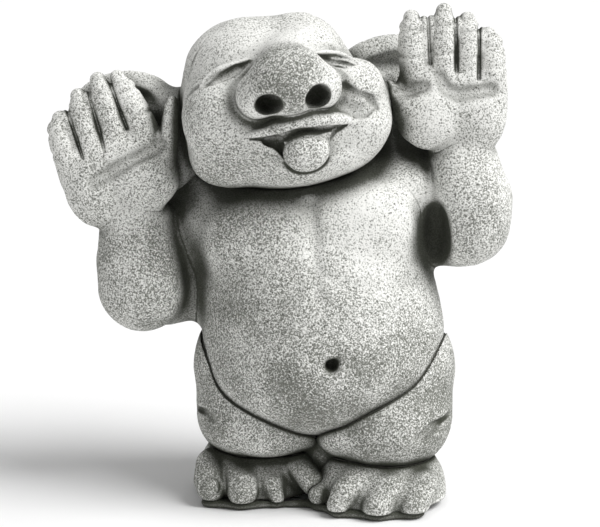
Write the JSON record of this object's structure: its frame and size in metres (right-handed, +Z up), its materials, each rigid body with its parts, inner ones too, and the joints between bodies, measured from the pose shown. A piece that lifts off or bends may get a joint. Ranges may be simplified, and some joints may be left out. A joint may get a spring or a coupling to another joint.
{
  "type": "garden troll figure",
  "caption": "Cast-stone garden figure of a pot-bellied Norwegian troll with a big nose, raised hands and tongue out, standing on a thin base.",
  "frame": {"origin": "underside of the base slab, below the middle of the belly", "axes": "+Z up, the figure faces -Y, +X is the figure's own left"},
  "size_m": [0.3813, 0.2141, 0.4154],
  "materials": {
    "stone": "matt cast concrete, dark wash in creases",
    "mortar": "matt mortar",
    "steel": "plain reinforcing bar"
  },
  "bodies": {
    "root": {"base_slab": "stone", "torso": "stone", "head": "stone", "right_foot": "stone", "right_leg": "stone", "right_ear": "stone", "right_arm": "stone", "right_hand": "stone", "left_foot": "stone", "left_leg": "stone", "left_ear": "stone", "left_arm": "stone", "left_hand": "stone", "neck_dowel": "steel", "right_leg_rod": "steel", "right_shoulder_dowel": "steel", "right_wrist_pin": "steel", "right_ear_pin": "steel", "left_leg_rod": "steel", "left_shoulder_dowel": "steel", "left_wrist_pin": "steel", "left_ear_pin": "steel", "neck_mortar_bed": "mortar", "right_hip_mortar_bed": "mortar", "right_ankle_mortar_bed": "mortar", "right_foot_mortar_bed": "mortar", "right_shoulder_mortar_bed": "mortar", "right_wrist_mortar_bed": "mortar", "right_ear_mortar_bed": "mortar", "left_hip_mortar_bed": "mortar", "left_ankle_mortar_bed": "mortar", "left_foot_mortar_bed": "mortar", "left_shoulder_mortar_bed": "mortar", "left_wrist_mortar_bed": "mortar", "left_ear_mortar_bed": "mortar"}
  },
  "joints": []
}
